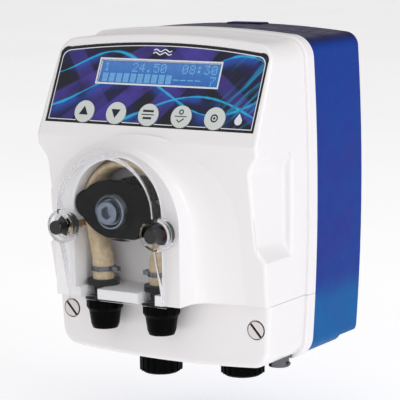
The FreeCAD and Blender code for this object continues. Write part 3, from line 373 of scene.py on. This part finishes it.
def with_beams(f, x, v, colour):
    """Colour with straight violet beams of light laid over it."""
    for angle, place, half, strength in BEAMS:
        beam = f.math("MULTIPLY", band(f, x, v, angle, place, half, 0.5), strength)
        beam = f.math("MULTIPLY", beam, f.remap(f.noise(16.0), 0.3, 0.6, 0.25, 1.0))
        colour = f.mix(beam, colour, paint(66, 52, 150))
    return colour


def with_ribbons(f, x, v, colour):
    """Colour with waving ribbons over it: a cyan line each, and a blue glow fading below it."""
    for height, swing, length, phase, tail in RIBBONS:
        gap = wave_gap(f, x, v, height, swing, length, phase)
        glow = f.math("MULTIPLY", f.remap(gap, -tail, 0.0, 0.0, 0.75), f.math("LESS_THAN", gap, 0.0))
        glow = f.math("MULTIPLY", glow, f.remap(f.noise(20.0), 0.38, 0.62))
        colour = f.mix(glow, colour, paint(34, 88, 190))
        width = f.remap(f.noise(14.0), 0.35, 0.7, 0.3, 1.5)
        core = f.remap(f.math("ABSOLUTE", gap), 0.0, width, 0.95, 0.0)
        colour = f.mix(core, colour, paint(24, 176, 226))
    return colour


def overlay_print():
    """Printed polyester overlay: navy ground, violet beams and soft blue ribbons of light."""
    f = Finish("printed_overlay", PANEL)
    x, v, n = f.axes()
    colour = f.mix(f.remap(f.noise(22.0), 0.35, 0.7), paint(1, 2, 20), paint(14, 14, 74))
    colour = with_ribbons(f, x, v, with_beams(f, x, v, colour))
    streaks = f.remap(f.noise(1.5, stretch=(1, 14, 1), turn=(0, 0, STREAK_TURN)), 0.46, 0.68)
    corner = f.remap(f.math("SUBTRACT", x, f.math("MULTIPLY", v, 0.35)), 26.0, 44.0)
    colour = f.mix(f.math("MULTIPLY", streaks, corner), colour, paint(18, 128, 176))
    colour = f.mix(overlay_margin(f, x, v), colour, paint(3, 3, 8))
    f.set(Base_Color=colour, Roughness=f.remap(f.noise(3.0), 0.3, 0.7, 0.26, 0.34))
    f.set(Normal=f.bump(f.noise(0.35), 0.004), Coat_Weight=0.3, Coat_Roughness=0.12)
    return f.material


def display_screen():
    """Backlit blue screen with a faint grid of character cells."""
    f = Finish("backlit_screen", PANEL)
    x, v, n = f.axes()
    lit = f.remap(v, *WINDOW_V)
    ground = f.mix(lit, paint(44, 112, 196), paint(80, 140, 214))
    edge = f.remap(x, 26.0, 32.5, 0.0, 0.45)
    ground = f.mix(edge, ground, paint(20, 150, 226))
    across = f.math("ADD", x, CELL_PITCH * CELL_COUNT / 2)
    across = f.math("FRACT", f.math("DIVIDE", across, CELL_PITCH))
    gap = f.remap(f.math("ABSOLUTE", f.math("SUBTRACT", across, 0.5)), 0.4, 0.48, 0.0, 0.18)
    ground = f.mix(gap, ground, paint(40, 92, 168))
    grain = f.remap(f.noise(0.5), 0.3, 0.7, 0.0, 0.1)
    ground = f.mix(grain, ground, paint(120, 170, 220))
    f.set(Base_Color=f.mix(0.8, ground, paint(6, 20, 60)), Roughness=0.35)
    f.set(Emission_Color=ground, Emission_Strength=0.5)
    return f.material


def ink(name, colour, glow=0.0):
    """Screen-printed ink, a little uneven."""
    f = Finish(name)
    tone = f.mix(f.noise(1.3), shade(colour, 0.93), shade(colour, 1.0))
    f.set(Base_Color=tone, Roughness=f.remap(f.noise(0.8), 0.3, 0.7, 0.38, 0.5))
    f.set(Normal=f.bump(f.noise(0.3), 0.004))
    if glow:
        f.set(Emission_Color=tone, Emission_Strength=glow)
    return f.material


def circuit_board():
    """Green solder mask with traces under it."""
    f = Finish("circuit_board")
    trace = f.remap(f.noise(1.4, stretch=(6, 1, 1)), 0.5, 0.54)
    f.set(Base_Color=f.mix(trace, paint(16, 92, 52), paint(26, 120, 70)))
    f.set(Roughness=f.remap(trace, 0.0, 1.0, 0.35, 0.5), Normal=f.bump(trace, 0.03))
    return f.material


# ---------------------------------------------------------------- piece geometry

def finish_mesh(name, bm, material, body):
    """Turn a bmesh into a named piece that rides on a body."""
    bmesh.ops.recalc_face_normals(bm, faces=bm.faces)
    mesh = bpy.data.meshes.new(name)
    bm.to_mesh(mesh)
    bm.free()
    mesh.materials.append(material)
    piece = bpy.data.objects.new(name, mesh)
    bpy.context.scene.collection.objects.link(piece)
    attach(piece, body)


def add_prism(bm, points, low, high):
    """Closed prism of an (x, v) polygon between two heights above the panel."""
    lower = [bm.verts.new(PANEL @ Vector((x, v, low))) for x, v in points]
    upper = [bm.verts.new(PANEL @ Vector((x, v, high))) for x, v in points]
    bm.faces.new(lower)
    bm.faces.new(upper)
    for i in range(len(points)):
        j = (i + 1) % len(points)
        bm.faces.new((lower[i], lower[j], upper[j], upper[i]))


def add_ring(bm, outer, inner, low, high):
    """Closed flat ring between two outlines with the same number of points."""
    loops = [[bm.verts.new(PANEL @ Vector((x, v, n))) for x, v in outline]
             for outline, n in ((outer, low), (outer, high), (inner, high), (inner, low))]
    for k in range(4):
        first, second = loops[k], loops[(k + 1) % 4]
        for i in range(len(outer)):
            j = (i + 1) % len(outer)
            bm.faces.new((first[i], first[j], second[j], second[i]))


def add_stroke(bm, points, width, low, high):
    """Solid line of even width along (x, v) points."""
    left, right = [], []
    for i, (x, v) in enumerate(points):
        before, after = points[max(i - 1, 0)], points[min(i + 1, len(points) - 1)]
        run, rise = after[0] - before[0], after[1] - before[1]
        length = math.hypot(run, rise)
        dx, dv = -rise / length * width / 2, run / length * width / 2
        left.append((x + dx, v + dv))
        right.append((x - dx, v - dv))
    add_prism(bm, left + right[::-1], low, high)


def rectangle(x0, x1, v0, v1):
    return [(x0, v0), (x1, v0), (x1, v1), (x0, v1)]


def circle(x, v, radius, count=40):
    return [(x + radius * math.cos(2 * math.pi * i / count),
             v + radius * math.sin(2 * math.pi * i / count)) for i in range(count)]


def overlay_line(inset):
    """Outline of the overlay moved inwards: straight sides, round corners, shallow top arc."""
    half, top = OVERLAY_HALF - inset, OVERLAY_TOP_V - inset
    corner_x, corner_v = OVERLAY_CORNER_X - inset * 0.9, OVERLAY_CORNER_V - inset
    side_v = OVERLAY_SIDE_V - inset * 0.6
    right_corner = []
    for i in range(1, 9):
        turn = math.pi / 2 * i / 9
        right_corner.append((corner_x + (half - corner_x) * math.cos(turn),
                             side_v + (corner_v - side_v) * math.sin(turn)))
    top_arc = []
    steps = 40
    for i in range(steps + 1):
        x = corner_x - 2 * corner_x * i / steps
        top_arc.append((x, top - (top - corner_v) * (x / corner_x) ** 2))
    left_corner = [(-x, v) for x, v in reversed(right_corner)]
    start = [(-half, inset), (half, inset), (half, side_v)]
    return start + right_corner + top_arc + left_corner + [(-half, side_v)]


# ---------------------------------------------------------------- panel pieces

GLYPHS = {
    "0": "01110 10001 10011 10101 11001 10001 01110",
    "1": "00100 01100 00100 00100 00100 00100 01110",
    "2": "01110 10001 00001 00010 00100 01000 11111",
    "3": "11111 00010 00100 00010 00001 10001 01110",
    "4": "00010 00110 01010 10010 11111 00010 00010",
    "5": "11111 10000 11110 00001 00001 10001 01110",
    "7": "11111 00001 00010 00100 01000 01000 01000",
    "8": "01110 10001 10001 01110 10001 10001 01110",
    ".": "00000 00000 00000 00000 00000 01100 01100",
    ":": "00000 01100 01100 00000 01100 01100 00000",
    "#": "11111 11111 11111 11111 11111 11111 11111",
    "-": "00000 00000 00000 11111 00000 00000 00000",
}
SCREEN_ROWS = ("1   24.50  08:30", "##########---- 7")


def screen_characters(material):
    """Dot-matrix digits, and a bar of full cells ending in dashes, on the screen."""
    bm = bmesh.new()
    low = SCREEN_FRONT_N + 0.005
    for row, text in enumerate(SCREEN_ROWS):
        top_v = WINDOW_V[1] - ROW_MARGIN - row * ROW_PITCH
        for column, sign in enumerate(text):
            left_x = -CELL_PITCH * CELL_COUNT / 2 + column * CELL_PITCH + CELL_MARGIN
            for j, line in enumerate(GLYPHS.get(sign, "").split()):
                for i, bit in enumerate(line):
                    if bit == "1":
                        x, v = left_x + i * DOT_PITCH, top_v - j * DOT_PITCH
                        add_prism(bm, rectangle(x, x + DOT, v - DOT, v), low, low + DOT_T)
    finish_mesh("screen_characters", bm, material, "housing")


def border_line(bm, low, high):
    """Pale border line of the overlay: one piece round the top, and a bottom broken at each key."""
    outer, inner = overlay_line(BORDER_INSET[0]), overlay_line(BORDER_INSET[1])
    outer, inner = outer[1:] + outer[:1], inner[1:] + inner[:1]
    for end in (0, -1):
        inner[end] = (inner[end][0], BORDER_INSET[0])
    add_prism(bm, outer + inner[::-1], low, high)
    stops = [inner[-1][0], inner[0][0]]
    for name in KEY_NAMES:
        x = middle(name).x / MM
        stops += [x - KEY_BREAK, x + KEY_BREAK]
    stops.sort()
    for x0, x1 in zip(stops[::2], stops[1::2]):
        add_prism(bm, rectangle(x0, x1, *BORDER_INSET), low, high)


def overlay_lines(material):
    """Border line of the overlay and frame of the display window."""
    bm = bmesh.new()
    low, high = OVERLAY_FRONT_N, OVERLAY_FRONT_N + INK
    border_line(bm, low, high)
    v0, v1 = WINDOW_V
    outer = WINDOW_HALF + WINDOW_FRAME
    add_ring(bm, rectangle(-outer, outer, v0 - WINDOW_FRAME, v1 + WINDOW_FRAME),
             rectangle(-WINDOW_HALF, WINDOW_HALF, v0, v1), low, high)
    finish_mesh("overlay_lines", bm, material, "housing")


def overlay_marks(material):
    """Generic water marks: a wave above the window and a drop beside the keys."""
    bm = bmesh.new()
    low, high = OVERLAY_FRONT_N, OVERLAY_FRONT_N + INK
    steps = 32
    for v in WAVE_MARK_V:
        wave = [(WAVE_MARK_LENGTH * (i / steps - 0.5),
                 v + WAVE_MARK_SWING * math.sin(4 * math.pi * i / steps)) for i in range(steps + 1)]
        add_stroke(bm, wave, MARK_LINE, low, high)
    drop_x, drop_v, radius = DROP_MARK
    drop = [(drop_x, drop_v + DROP_TIP)]
    for i in range(25):
        turn = math.radians(148 + 244 * i / 24)
        drop.append((drop_x + radius * math.cos(turn), drop_v + radius * math.sin(turn)))
    add_prism(bm, drop, low, high)
    finish_mesh("overlay_marks", bm, material, "housing")


def key_symbol(bm, name, x):
    """Symbol of one key: triangles, a menu list, a ring over a tick, or a target."""
    low, high = KEY_FRONT_N, KEY_FRONT_N + INK
    if name == "key_up":
        add_prism(bm, [(x - 2.5, KEY_V - 1.7), (x + 2.5, KEY_V - 1.7), (x, KEY_V + 2.6)], low, high)
    elif name == "key_down":
        add_prism(bm, [(x - 2.5, KEY_V + 1.7), (x, KEY_V - 2.6), (x + 2.5, KEY_V + 1.7)], low, high)
    elif name == "key_menu":
        for step, half in ((1.7, 2.9), (0.0, 3.3), (-1.7, 2.3)):
            thick = 0.22 if step == 0 else 0.5
            bar = rectangle(x - half, x + half, KEY_V + step - thick, KEY_V + step + thick)
            add_prism(bm, bar, low, high)
    elif name == "key_enter":
        add_prism(bm, rectangle(x - 3.2, x + 3.2, KEY_V - 0.2, KEY_V + 0.2), low, high)
        tick = [(x - 1.7, KEY_V - 1.6), (x - 0.4, KEY_V - 2.7), (x + 1.9, KEY_V - 1.0)]
        add_stroke(bm, tick, 0.6, low, high)
        add_ring(bm, circle(x, KEY_V + 2.1, 1.25), circle(x, KEY_V + 2.1, 0.7), low, high)
    else:
        add_ring(bm, circle(x, KEY_V, 1.9), circle(x, KEY_V, 1.25), low, high)
        add_prism(bm, circle(x, KEY_V, 0.6, 20), low, high)


def key_symbols(material):
    for name in KEY_NAMES:
        bm = bmesh.new()
        key_symbol(bm, name, middle(name).x / MM)
        finish_mesh(name + "_symbol", bm, material, name)


# ---------------------------------------------------------------- finishes of the CAD nodes

def node_finishes():
    """Material of every CAD node, by node name."""
    white = moulded("white_moulding", paint(238, 235, 236), 0.32, spread=0.015,
                    Coat_Weight=0.15, Coat_Roughness=0.15)
    black = moulded("black_moulding", paint(2, 2, 3), 0.34, grain=0.5, depth=0.02, spread=0.25,
                    Specular_IOR_Level=0.04)
    satin_black = moulded("rotor_black", paint(3, 3, 5), 0.3, grain=1.5, depth=0.01, spread=0.2,
                          Specular_IOR_Level=0.03)
    blue = housing_blue()
    steel = metal("plated_steel", (0.19, 0.22, 0.27, 1.0), 0.16)
    brass = metal("brass", (0.72, 0.5, 0.24, 1.0), 0.25)
    core = metal("rolled_steel_core", (0.42, 0.42, 0.44, 1.0), 0.45, stretch=(6, 1, 1))
    nylon = moulded("white_nylon", paint(232, 228, 214), 0.45, grain=0.6, spread=0.03)
    rubber = moulded("grey_rubber", paint(44, 44, 46), 0.7, grain=0.4, depth=0.03, spread=0.15)
    board = circuit_board()
    dark_steel = metal("blackened_steel", (0.14, 0.14, 0.155, 1.0), 0.3)
    groups = {
        white: ("front_housing", "terminal_cover", "gland_tray"),
        cover_screw(): ("cover_screw_left", "cover_screw_right"),
        blue: ("rear_housing", "wall_bracket"),
        black: ("connector_nut_left", "connector_nut_right", "gland_nut_left", "gland_nut_right",
                "gland_body_left", "gland_body_right", "hose_connector_left", "hose_connector_right",
                "gearbox_case", "gearbox_lid", "terminal_blocks", "board_components", "lcd_module",
                "key_switches"),
        satin_black: ("rotor", "roller_pins"),
        steel: ("hub_washer", "hub_screw", "housing_screws", "gearbox_screws", "drive_shaft"),
        dark_steel: ("hose_clamps", "probe_socket"),
        brass: ("threaded_inserts", "front_bush", "motor_pinion"),
        core: ("motor", "transformer"),
        nylon: ("roller_left", "roller_right", "drive_gear", "idler_gear"),
        rubber: ("housing_gasket", "shaft_seal"),
        board: ("control_board", "power_board"),
        thumb_screw(): ("thumb_screw_left", "thumb_screw_right"),
        hose_rubber(): ("pump_hose",),
        clear_plastic("clear_cover_plastic", paint(252, 253, 254), 0.02): ("clear_cover",),
        clear_plastic("window_plastic", paint(250, 252, 255), 0.03): ("display_window",),
        display_screen(): ("lcd_screen",),
        overlay_print(): ("control_overlay",),
        moulded("key_grey", paint(206, 211, 208), 0.42, grain=0.5, spread=0.02): KEY_NAMES,
    }
    return {node: material for material, nodes in groups.items() for node in nodes}


def dress_nodes():
    """Give every CAD node its finish."""
    for node, material in node_finishes().items():
        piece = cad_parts[node]
        if not piece.material_slots:
            piece.data.materials.append(material)
        for slot in piece.material_slots:
            slot.material = material
    for node in ("clear_cover", "display_window"):
        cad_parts[node].visible_shadow = False     # lamps shine through clear plastic


# ---------------------------------------------------------------- studio

def camera():
    """Camera at its place, turned to its azimuth, elevation and roll."""
    back = Vector((math.sin(AZIMUTH) * math.cos(ELEVATION), -math.cos(AZIMUTH) * math.cos(ELEVATION),
                   math.sin(ELEVATION)))
    level = Vector((math.cos(AZIMUTH), math.sin(AZIMUTH), 0))
    upright = back.cross(level)
    right = level * math.cos(ROLL) - upright * math.sin(ROLL)
    up = level * math.sin(ROLL) + upright * math.cos(ROLL)
    data = bpy.data.cameras.new("camera")
    data.lens = CAMERA_LENS
    data.sensor_width = SENSOR
    obj = bpy.data.objects.new("camera", data)
    turn = Matrix((right, up, back)).transposed().to_4x4()
    obj.matrix_world = Matrix.Translation(CAMERA_PLACE) @ turn
    bpy.context.scene.collection.objects.link(obj)
    bpy.context.scene.camera = obj


def area_light(name, place, size, power, colour=(1, 1, 1)):
    """Soft box at a place in metres, turned to the object."""
    data = bpy.data.lights.new(name, "AREA")
    data.shape = "RECTANGLE"
    data.size, data.size_y = size
    data.energy = power
    data.color = colour
    obj = bpy.data.objects.new(name, data)
    obj.location = place
    obj.rotation_mode = "QUATERNION"
    obj.rotation_quaternion = (Vector(place) - Vector(LIGHT_AIM)).to_track_quat("Z", "Y")
    bpy.context.scene.collection.objects.link(obj)


def studio():
    """Bright even surroundings, three soft boxes and the floor."""
    world = bpy.data.worlds.new("studio")
    world.use_nodes = True
    background = world.node_tree.nodes["Background"]
    background.inputs["Color"].default_value = WORLD_COLOUR
    background.inputs["Strength"].default_value = WORLD_STRENGTH
    bpy.context.scene.world = world
    area_light("key_light", (1.7, -0.55, 0.75), (0.9, 1.2), KEY_LIGHT_POWER, KEY_LIGHT_COLOUR)
    area_light("fill_light", (0.4, -2.0, 0.7), (1.4, 1.4), FILL_POWER)
    area_light("top_light", (0.1, -0.5, 1.9), (1.6, 1.2), TOP_POWER)
    studio_floor()


def studio_floor():
    """Pale plain floor that glows a little."""
    z = cad_bounds[0].z - FLOOR_DROP
    corners = [(x, y, z) for x, y in rectangle(-FLOOR_REACH, FLOOR_REACH, -FLOOR_REACH, FLOOR_REACH)]
    mesh = bpy.data.meshes.new("floor")
    mesh.from_pydata(corners, [], [(0, 1, 2, 3)])
    floor = bpy.data.objects.new("floor", mesh)
    f = Finish("studio_floor")
    tone = f.mix(f.noise(200.0), paint(244, 244, 245), paint(250, 250, 251))
    f.set(Base_Color=tone, Roughness=0.8, Emission_Color=tone, Emission_Strength=FLOOR_GLOW)
    mesh.materials.append(f.material)
    bpy.context.scene.collection.objects.link(floor)


# ---------------------------------------------------------------- build

def main():
    dress_nodes()
    pale_ink = ink("pale_ink", paint(226, 228, 236))
    dark_ink = ink("dark_ink", paint(18, 20, 40))
    screen_characters(ink("screen_dots", paint(104, 160, 196), glow=0.4))
    overlay_lines(pale_ink)
    overlay_marks(pale_ink)
    key_symbols(dark_ink)
    studio()
    camera()
    bpy.context.scene.view_settings.view_transform = "Standard"


main()
